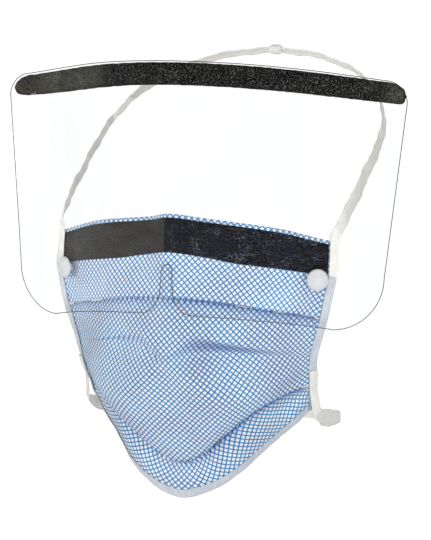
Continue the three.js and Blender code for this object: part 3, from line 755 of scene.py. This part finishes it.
def make_foam(material):
    """The bar's section is a box with rounded corners behind the film, thinner towards its ends."""
    end = VISOR.top_half - FOAM.end_inset
    t = np.linspace(-1, 1, 190)
    s = end * (0.35 * np.sin(t * math.pi / 2) + 0.65 * t)
    start = VISOR.top_half - VISOR.top_corner
    from_end = np.minimum(1, (end - np.abs(s)) / FOAM.end_round)
    rounding = np.sqrt(np.maximum(0, 1 - (1 - from_end) ** 2))
    top = visor_top(s) - FOAM.top
    line = VISOR.height - VISOR.top_drop * (s / start) ** 2 - FOAM.top
    bottom = line - FOAM.height + FOAM.end_rise * (s / end) ** 4
    inset = end - np.abs(s)
    top = top - corner_drop(inset, FOAM.top_corner)
    bottom = bottom + corner_drop(inset, FOAM.bottom_corner)
    near = VISOR.thickness + FOAM.gap
    deep = near + FOAM.thickness * (0.45 + 0.55 * rounding)
    angle = full_circle(40)
    across, upright = squared(np.cos(angle), 0.42), squared(np.sin(angle), 0.42)
    middle_up, half_up = (top + bottom) / 2, (top - bottom) / 2
    middle_in, half_in = (near + deep) / 2, (deep - near) / 2
    rings = []
    caps = (0, 0.55, 0.85)
    order = [(0, scale) for scale in caps] + [(i, 1) for i in range(len(s))]
    order += [(len(s) - 1, scale) for scale in caps[::-1]]
    for i, scale in order:
        beyond = (1 - scale ** 2) * 0.9 * (-1 if i == 0 else 1)
        up = middle_up[i] + half_up[i] * upright * scale
        inwards = middle_in[i] + half_in[i] * across * scale
        rings.append(visor_point(s[i] + beyond, up, inwards))
    rings = np.array(rings)
    x, z = rings[..., 0] + rings[..., 1], rings[..., 2] + 0.7 * rings[..., 1]
    outward = unit(rings - rings.mean(axis=1, keepdims=True))
    rings = rings + outward * (0.16 * waves(x, z, 5, seed=8) + 0.1 * waves(x, z, 2.3, seed=9))[..., None]
    foam = new_piece("foam_bar_soft", rings, closed=True, materials=[material])
    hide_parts("foam_bar")


def make_rivets(grid, material):
    """An outline turned about each rivet's axis: a domed cap with a sunk ring, the stem and the flange."""
    for side, word in ((1, "left"), (-1, "right")):
        along, up = side * RIVET.along, RIVET.up
        seat = visor_point(along, up)
        upwards = visor_point(along, up + 4) - visor_point(along, up - 4)
        inwards = unit(np.cross(upwards, visor_point(along + 4, up) - visor_point(along - 4, up)))
        away = grid.reshape(-1, 3) - seat
        depth = away @ inwards
        nearest = np.argmin(np.linalg.norm(away - depth[:, None] * inwards, axis=1))
        flange = depth[nearest] + 1.75
        outline = np.array([
            (0.02, -2.22), (1.2, -2.2), (2.4, -2.12), (3.3, -1.98), (3.75, -1.86), (3.95, -1.74),
            (4.15, -1.84), (4.5, -1.82), (4.95, -1.62), (5.3, -1.3), (5.5, -0.95), (5.58, -0.7),
            (5.5, -0.5), (5.2, -0.45), (1.9, -0.45), (1.6, -0.3), (1.6, flange - 0.1), (1.7, flange),
            (2.3, flange), (2.4, flange + 0.1), (2.4, flange + 0.9), (2.3, flange + 1), (0.02, flange + 1),
        ])
        turn = full_circle(64)
        sideways = unit(np.cross(inwards, (0, 0, 1)))
        upwards = np.cross(sideways, inwards)
        circle = np.cos(turn)[:, None] * sideways + np.sin(turn)[:, None] * upwards
        points = seat + outline[:, :1, None] * circle[None] + outline[:, 1:, None] * inwards
        rivet = new_piece(f"rivet_cap_{word}", points, closed=True, materials=[material])
        bevel = rivet.modifiers.new("soft_edges", "SUBSURF")
        bevel.levels = bevel.render_levels = 1
        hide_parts(f"rivet_{word}")


# The ribbon ties and their knots

def curve_through(points, per_step):
    """A Catmull-Rom curve through the points, per_step places between each two of them."""
    padded = joined(2 * points[:1] - points[1:2], points, 2 * points[-1:] - points[-2:-1])
    t = np.linspace(0, 1, per_step, endpoint=False)[:, None]
    parts = []
    for a, b, c, d in zip(padded[:-3], padded[1:-2], padded[2:-1], padded[3:]):
        parts.append(0.5 * (2 * b + (c - a) * t + (2 * a - 5 * b + 4 * c - d) * t ** 2
                            + (3 * b - a - 3 * c + d) * t ** 3))
    return joined(*parts, points[-1:])


def make_tie(name, node, sewn, sewn_facing, sewn_across, table, body, material, mirror):
    """A flat ribbon: sewn on over the binding, then free along the table's line, lying flat against the body.

    Its section is a rounded slab with a groove along the middle of each face, where the ribbon is folded.
    """
    points = joined(sewn[-1:], table[:, :3])
    free = curve_through(points, 14)[1:]
    share = np.linspace(0, len(table), len(free) + 1)[1:]
    table = joined([(0, 0, 0, SEWN_WIDTH, 0)], table)
    widths, turned = (np.interp(share, np.arange(len(table)), table[:, c]) for c in (3, 4))
    turned = turned[:, None]
    middle, half = body
    lying = unit((free - middle) / half ** 2)
    facing = unit(sewn_facing[-1] * (1 - turned) + lying * turned)
    line = joined(sewn, free)
    facing = joined(sewn_facing, facing)
    widths = joined(np.full(len(sewn), SEWN_WIDTH), widths)
    way = unit(np.gradient(line, axis=0))
    across = unit(np.cross(way, facing))
    sense = np.sign((across[:len(sewn)] * sewn_across).sum(axis=1).mean())
    across = across * sense
    blend = np.clip((np.arange(len(line)) - len(sewn) + 6) / 12, 0, 1)[:, None]
    start = joined(sewn_across, np.repeat(sewn_across[-1:], len(free), axis=0))
    across = unit(start * (1 - blend) + across * blend)
    facing = unit(facing - (facing * across).sum(axis=1, keepdims=True) * across)
    length = way_along(line)
    free_share = step_up(len(sewn) - 1, len(sewn) + 20, np.arange(len(line)))
    ripple = free_share * (0.35 * np.sin(length * 0.23 + len(name)) + 0.18 * np.sin(length * 0.61))
    line = line + facing * ripple[:, None]
    widths = widths * (1 + 0.05 * free_share * np.sin(length * 0.37 + 1))
    angle = full_circle(32)
    flat, thick = squared(np.cos(angle), 0.55), squared(np.sin(angle), 0.7)
    groove = 1 - 0.55 * bell(flat, 0.12, 0.1)
    cup = 0.35 * free_share[:, None] * flat[None] ** 2
    height = 0.46 * thick[None] * groove[None] - cup
    points = (line[:, None] + across[:, None] * (widths[:, None] / 2 * flat[None])[..., None]
              + facing[:, None] * height[..., None])
    last = points[-1:].mean(axis=1, keepdims=True) + 0 * points[-1:]
    first = points[:1].mean(axis=1, keepdims=True) + 0 * points[:1]
    points = joined(first, points, last)
    uv = flat_places(joined([0], length, [length[-1]])[:, None], flat * 2.6)
    if mirror:
        points = points * (-1, 1, 1)
    tie = new_piece(name, points, uv, closed=True, flip=(sense > 0) != mirror, materials=[material])
    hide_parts(node)


def make_knot(name, node, place, body, material):
    """A knotted lump: an ellipsoid with two rounded bands that cross over its face, and grooves."""
    theta = np.linspace(0.02, math.pi - 0.02, 46)[:, None]
    phi = full_circle(64)[None]
    x, y, z = np.sin(theta) * np.cos(phi), np.sin(theta) * np.sin(phi), np.cos(theta) + 0 * phi
    relief = 1 - 0.1 * np.cos(phi * 2 + 1.2) * np.sin(theta) ** 2
    for slope in (0.8, -0.9):
        band = (x + slope * z) / math.hypot(1, slope)
        relief = relief + 0.1 * np.exp(-(band / 0.3) ** 6) - 0.05 * bell(np.abs(band), 0.36, 0.06)
    ball = np.stack([x, y, z], -1) * KNOT_HALF * relief[..., None]
    middle, half = body
    facing = unit((place - middle) / half ** 2)
    side = np.array([1, 0, 0])
    points = place + ball[..., :1] * side + ball[..., 1:2] * facing + ball[..., 2:] * np.cross(side, facing)
    knot = new_piece(name, points, flat_places(phi * 3, theta * 3), closed=True, materials=[material])
    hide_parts(node)


def make_ties(grid, at, across, material):
    """Each tie is sewn along its rows' outer ends, and the wearer's right ones are the left ones mirrored."""
    leg, edge = column_at(grid, across, BINDING_LINE), column_at(grid, across, EDGE_LINE)
    for level, rows, table, body in (("upper", ("strip_low", "top"), UPPER_TIE, HEAD),
                                     ("lower", ("crest", "tuck3"), LOWER_TIE, NECK)):
        first, last = at[rows[0]], at[rows[1]]
        step = 1 if last > first else -1
        order = np.arange(first, last + step, step)
        legs, edges = even_stations(edge[order], (leg[order], edge[order]), SEWN_STEP)
        legs, edges = smooth_line(legs, 3), smooth_line(edges, 3)
        out = unit(edges - legs)
        facing = step * unit(smooth_line(np.cross(np.gradient(edges, axis=0), out), 3))
        sewn = legs * 0.4 + edges * 0.6 + facing * SEWN_LIFT
        for mirror, word in ((False, "left"), (True, "right")):
            name, node = f"{level}_tie_{word}", f"tie_{level}_{word}"
            make_tie(name, node, sewn, facing, out, table, body, material, mirror)
        place = np.array([0, table[-1, 1], table[-1, 2]])
        make_knot(f"{level}_knot", f"knot_{level}", place, body, material)


# Materials, whose lengths are in metres

PRINT_REPEAT = 0.0031


def rgba(value):
    """A colour of three numbers with its alpha, and a socket as it is."""
    return (*value, 1) if isinstance(value, tuple) else value


class Nodes:
    """Adds nodes to a tree. An input is a number, a tuple or another node's output socket."""

    def __init__(self, tree, shader=None):
        self.tree = tree
        self.shader = shader

    def add(self, kind, inputs=None, out=0, **settings):
        made = self.tree.nodes.new(kind)
        for key, value in settings.items():
            setattr(made, key, value)
        for key, value in (inputs or {}).items():
            if isinstance(value, bpy.types.NodeSocket):
                self.tree.links.new(value, made.inputs[key])
            else:
                made.inputs[key].default_value = value
        return made.outputs[out]

    def feed(self, socket, value):
        """Links a value to a socket of the material's shader."""
        self.tree.links.new(value, self.shader.inputs[socket])

    def place(self):
        return self.add("ShaderNodeTexCoord", out=3)

    def flat(self):
        return self.add("ShaderNodeUVMap", uv_map="flat")

    def math(self, operation, a, b=0):
        return self.add("ShaderNodeMath", {0: a, 1: b}, operation=operation)

    def times(self, a, b):
        return self.math("MULTIPLY", a, b)

    def add_up(self, a, b):
        return self.math("ADD", a, b)

    def repeat(self, value, length):
        """The distance to the nearest whole multiple of the length, as a share of it from 0 to 0.5."""
        return self.math("PINGPONG", self.math("DIVIDE", value, length), 0.5)

    def noise(self, vector, scale, detail=3, rough=0.5):
        return self.add("ShaderNodeTexNoise",
                        {"Vector": vector, "Scale": scale, "Detail": detail, "Roughness": rough})

    def band(self, value, low, high, start=0, end=1):
        """The value carried from low..high to start..end, smoothly and without going past either."""
        limits = {"Value": value, "From Min": low, "From Max": high, "To Min": start, "To Max": end}
        return self.add("ShaderNodeMapRange", limits, interpolation_type="SMOOTHSTEP")

    def mix(self, share, a, b, blend="MIX"):
        return self.add("ShaderNodeMix", {0: share, 6: rgba(a), 7: rgba(b)}, out=2, data_type="RGBA",
                        blend_type=blend)

    def tones(self, value, a, b, low=0.3, high=0.7):
        """Two colours, mixed as a noise value goes from low to high."""
        return self.mix(self.band(value, low, high), a, b)

    def split(self, vector):
        made = self.tree.nodes.new("ShaderNodeSeparateXYZ")
        self.tree.links.new(vector, made.inputs[0])
        return made.outputs

    def stretched(self, vector, x, y, z=1, turn=0):
        return self.add("ShaderNodeMapping", {"Vector": vector, "Scale": (x, y, z), "Rotation": (0, 0, turn)})

    def bump(self, height, strength, distance, normal=None):
        inputs = {"Height": height, "Strength": strength, "Distance": distance}
        if normal is not None:
            inputs["Normal"] = normal
        return self.add("ShaderNodeBump", inputs)


def shade(name, roughness, **fixed):
    """A new material, and the helper that adds its nodes and feeds its Principled shader."""
    material = bpy.data.materials.new(name)
    material.use_nodes = True
    shader = material.node_tree.nodes["Principled BSDF"]
    shader.inputs["Roughness"].default_value = roughness
    for key, value in fixed.items():
        shader.inputs[key.replace("_", " ")].default_value = value
    return material, Nodes(material.node_tree, shader)


def fibre_group():
    """A node group: pressed fibres as crossing streaks, and the small oval bond dots of a nonwoven cloth."""
    group = bpy.data.node_groups.new("pressed_fibres", "ShaderNodeTree")
    group.interface.new_socket("Vector", in_out="INPUT", socket_type="NodeSocketVector")
    for name in ("Fibres", "Dots"):
        group.interface.new_socket(name, in_out="OUTPUT", socket_type="NodeSocketFloat")
    n = Nodes(group)
    vector = n.add("NodeGroupInput")
    outside = group.nodes.new("NodeGroupOutput")
    streaks = [n.noise(n.stretched(vector, 1, 0.12, 1, turn), 2600, 3, 0.6) for turn in (0.4, 2.1, -0.7)]
    fibres = n.add_up(n.math("MAXIMUM", streaks[0], streaks[1]), n.times(streaks[2], 0.7))
    oval = n.stretched(vector, 1, 0.75, 1, 0.5)
    cells = n.add("ShaderNodeTexVoronoi", {"Vector": oval, "Scale": 1150, "Randomness": 0.25})
    group.links.new(fibres, outside.inputs["Fibres"])
    group.links.new(n.band(cells, 0.18, 0.32, 1, 0), outside.inputs["Dots"])
    return group


def fibres_on(n, group, vector):
    made = n.tree.nodes.new("ShaderNodeGroup")
    made.node_tree = group
    n.tree.links.new(vector, made.inputs["Vector"])
    return made.outputs["Fibres"], made.outputs["Dots"]


def cloth_material(fibre, front):
    """White nonwoven with two crossing sets of thin blue lines, at 45 degrees to u and v.

    Each set is the ping-pong of u plus or minus v over the repeat, with some drift, cut at the line's width.
    The print shows faintly at the back. Both sides are darker in the pleats' shadows.
    """
    material, n = shade("crosshatch_front" if front else "crosshatch_back", 0.85, Sheen_Weight=0.05,
                        Sheen_Roughness=0.6, Specular_IOR_Level=0.15)
    uv = n.flat()
    fibres, dots = fibres_on(n, fibre, uv)
    drift = n.times(n.math("SUBTRACT", n.noise(uv, 420, 2), 0.5), 0.00032)
    bleed = n.times(n.math("SUBTRACT", n.noise(uv, 3300, 2), 0.5), 0.16)
    u, v, _ = n.split(uv)
    sets = []
    for sign in ("ADD", "SUBTRACT"):
        fold = n.repeat(n.add_up(n.math(sign, u, v), drift), PRINT_REPEAT)
        sets.append(n.band(n.add_up(fold, bleed), 0.125, 0.188, 1, 0))
    patchy = n.band(n.noise(uv, 1500, 2), 0.28, 0.55, 0.87, 1)
    strength = n.times(n.times(n.math("MAXIMUM", *sets), patchy), 1 if front else 0.22)
    tone = n.noise(uv, 38)
    pale = n.tones(tone, (0.79, 0.765, 0.70), (0.88, 0.845, 0.775))
    pale = n.mix(n.band(fibres, 0.7, 1.15, 0, 0.4), pale, (0.93, 0.905, 0.87))
    blue = n.tones(tone, (0, 0.18, 0.49), (0, 0.27, 0.60), 0.35)
    colour = n.mix(strength, pale, blue)
    shadow = n.add("ShaderNodeAttribute", out=2, attribute_name="fold_shade")
    if front:
        colour = n.mix(shadow, colour, (0.25, 0.36, 0.60), "MULTIPLY")
    else:
        colour = n.mix(n.band(shadow, 0.6, 0.95), colour, (0.62, 0.64, 0.69), "MULTIPLY")
    n.feed("Base Color", colour)
    n.feed("Roughness", n.band(fibres, 0.6, 1.2, 0.78, 0.95))
    height = n.math("SUBTRACT", n.times(fibres, 0.5), n.times(dots, 0.7))
    soft = n.bump(n.noise(uv, 260), 0.35, 0.0006)
    n.feed("Normal", n.bump(height, 0.35, 0.00012, soft))
    return material


def strip_material():
    """Dark coated film, near black with a fine blue glitter on the wearer's left. The warm dark tone on the
    wearer's right is a painted reflection: the sheen of that half, which faces a broad light on the left. A
    painted shade line darkens the nose crease.
    """
    material, n = shade("dark_film", 0.6, Specular_IOR_Level=0.12)
    uv = n.flat()
    x, _, _ = n.split(n.place())
    side = n.band(n.add_up(x, n.times(n.noise(uv, 160), 0.003)), -0.002, -0.0004)
    tone = n.noise(n.stretched(uv, 1, 3), 60, 4)
    # Painted reflection: the warm tones of the wearer's right half stand in for its sheen, as it faces a broad
    # light on the left.
    reflected_brown = n.tones(tone, (0.022, 0.0205, 0.018), (0.038, 0.036, 0.032))
    dark = n.tones(tone, (0.0005, 0.0007, 0.001), (0.0025, 0.003, 0.005))
    grains = n.add("ShaderNodeTexVoronoi", {"Vector": n.stretched(uv, 1, 1.6), "Scale": 2000}, out=1)
    red, green, _ = n.split(grains)
    patches = n.band(n.noise(n.stretched(uv, 1, 2.4), 95), 0.45, 0.62)
    glitter = n.times(n.times(n.band(red, 0.72, 0.9), side), n.band(patches, 0, 1, 0.3, 1))
    spark = n.mix(green, (0.009, 0.04, 0.16), (0.20, 0.192, 0.155))
    colour = n.mix(glitter, n.mix(side, reflected_brown, dark), spark)
    # Painted shade: a near black line down the nose crease, where the film folds.
    nose = n.band(n.math("ABSOLUTE", n.add_up(x, 0.0018)), 0.0004, 0.0018, 0.8, 0)
    n.feed("Base Color", n.mix(nose, colour, (0.003, 0.003, 0.004)))
    n.feed("Roughness", n.band(n.noise(uv, 700), 0.3, 0.7, 0.4, 0.62))
    pressed = n.bump(n.noise(n.stretched(uv, 1, 2.2), 210), 0.15, 0.0005)
    n.feed("Normal", n.bump(n.noise(uv, 2400, 2), 0.35, 0.00012, pressed))
    return material


def ribbon_material(fibre, name, pale, shaded, weld):
    """Nonwoven ribbon in two near tones, with rows of small slanting weld marks as strong as weld."""
    material, n = shade(name, 0.85, Sheen_Weight=0.15, Sheen_Roughness=0.6, Specular_IOR_Level=0.25)
    uv = n.flat()
    fibres, dots = fibres_on(n, fibre, uv)
    colour = n.tones(n.noise(n.stretched(uv, 0.6, 1.6), 300), shaded, pale, 0.3, 0.72)
    colour = n.mix(n.band(fibres, 0.75, 1.2, 0, 0.5), colour, (0.97, 0.97, 0.97))
    u, v, _ = n.split(uv)
    slant = n.add_up(u, n.times(v, 0.7))
    mark = n.times(n.band(n.repeat(slant, 0.0016), 0.30, 0.42), n.band(n.repeat(v, 0.0017), 0.16, 0.3))
    mark = n.times(mark, weld)
    n.feed("Base Color", n.mix(n.times(mark, 0.55), colour, (0.48, 0.53, 0.62)))
    height = n.math("SUBTRACT", n.times(fibres, 0.4), n.math("MAXIMUM", n.times(dots, 0.4), mark))
    n.feed("Normal", n.bump(height, 0.5, 0.00022))
    return material


def visor_materials():
    """Clear film that casts almost no shadow on what is behind it, and the thin dark line of its cut edge,
    which is painted shade: the clear edge looks dark through refraction.
    """
    film, n = shade("clear_film", 0.03, IOR=1.15, Transmission_Weight=1, Metallic=0)
    place = n.place()
    haze = n.noise(n.stretched(place, 1, 1, 0.35), 55, 4)
    n.feed("Base Color", n.tones(haze, (0.92, 0.925, 0.93), (0.90, 0.905, 0.91), 0.35))
    n.feed("Roughness", n.band(haze, 0.4, 0.75, 0.01, 0.035))
    n.feed("Normal", n.bump(n.noise(n.stretched(place, 1, 1, 0.4), 24, 2), 0.06, 0.001))
    shadow = n.add("ShaderNodeLightPath", out=1)
    n.feed("Alpha", n.math("SUBTRACT", 1, n.times(shadow, 0.93)))
    # Painted shade: the dark edge colour stands in for the clear cut edge, which looks dark through
    # refraction.
    rim, n = shade("film_edge", 0.3, Specular_IOR_Level=0.5)
    n.feed("Base Color", n.tones(n.noise(n.place(), 180), (0.035, 0.032, 0.028), (0.075, 0.07, 0.062)))
    return film, rim


def foam_material():
    """Open black foam: pores of two sizes as dark pits, and skin between them. It is greyer towards the ends,
    which is painted light: at the wearer's right end it stands in for the reflection of a broad light in the
    film in front.
    """
    material, n = shade("open_foam", 0.97, Specular_IOR_Level=0.05)
    place = n.place()
    x, _, _ = n.split(place)
    # Painted reflection: the foam turns a warm grey towards both ends, standing in at the wearer's right end
    # for a broad light reflected in the film.
    ends = n.math("MAXIMUM", n.band(x, -0.052, -0.04, 1, 0), n.band(x, 0.085, 0.105))
    cells = n.add("ShaderNodeTexVoronoi", {"Vector": place, "Scale": 620, "Randomness": 1})
    fine = n.noise(place, 1150, 3, 0.7)
    pores = n.times(n.band(cells, 0.16, 0.5, 1, 0), n.band(fine, 0.35, 0.6, 0.4, 1))
    tone = n.noise(place, 70)
    black = n.tones(tone, (0.003, 0.003, 0.003), (0.010, 0.010, 0.009))
    olive_reflection = n.tones(tone, (0.022, 0.022, 0.014), (0.06, 0.058, 0.042))
    bare = n.times(n.band(fine, 0.52, 0.66), n.band(ends, 0, 1, 0.9, 0.6))
    skin = n.mix(bare, n.mix(ends, black, olive_reflection), (0.13, 0.128, 0.118))
    n.feed("Base Color", n.mix(n.times(pores, 0.85), skin, (0.002, 0.002, 0.002)))
    n.feed("Normal", n.bump(n.math("SUBTRACT", fine, n.times(pores, 1.2)), 0.8, 0.0006))
    return material


def rivet_material():
    """White moulded plastic, a little warmer in patches, with a faint moulding grain."""
    material, n = shade("moulded_white", 0.38, Specular_IOR_Level=0.5)
    place = n.place()
    n.feed("Base Color", n.tones(n.noise(place, 240), (0.68, 0.69, 0.70), (0.75, 0.75, 0.75)))
    n.feed("Roughness", n.band(n.noise(place, 900, 2), 0.3, 0.7, 0.32, 0.46))
    n.feed("Normal", n.bump(n.noise(place, 1400, 2), 0.12, 0.0001))
    return material


def make_stage():
    """A pale round floor that curves up into a wall."""
    level_to, bend, top, drop = 2000, 600, 3600, 420
    turn = quarter(14)[1:]
    away = joined([1, 700, 1400, level_to], level_to + bend * np.sin(turn), [level_to + bend])
    level = joined(np.zeros(4), bend * (1 - np.cos(turn)), [top]) - drop
    around = full_circle(96)
    points = np.stack([away[:, None] * np.sin(around), away[:, None] * np.cos(around),
                       level[:, None] + 0 * around], -1)
    material, n = shade("paper_sweep", 0.95, Specular_IOR_Level=0.1, Emission_Strength=1.05,
                        Emission_Color=(1, 1, 1, 1))
    n.feed("Base Color", n.tones(n.noise(n.place(), 3, 2), (0.10, 0.10, 0.10), (0.12, 0.12, 0.12)))
    sweep = new_piece("sweep", points, closed=True, flip=True, materials=[material])
    sweep.visible_diffuse = sweep.visible_glossy = sweep.visible_shadow = False


def main():
    set_camera()
    light_the_set()
    make_stage()
    fibre = fibre_group()
    grid, at, across = make_cloth()
    cloth = place_cloth(grid, at, across, [cloth_material(fibre, True), cloth_material(fibre, False)])
    make_strip(grid, at, across, strip_material())
    binding = ribbon_material(fibre, "edge_ribbon", (0.58, 0.60, 0.64), (0.48, 0.51, 0.565), 1)
    ribbon = ribbon_material(fibre, "tie_ribbon", (0.86, 0.83, 0.77), (0.76, 0.73, 0.66), 0.25)
    bindings = make_bindings(grid, across, binding)
    make_ties(grid, at, across, ribbon)
    film, rim = visor_materials()
    make_visor(film, rim)
    make_foam(foam_material())
    make_rivets(grid, rivet_material())


main()
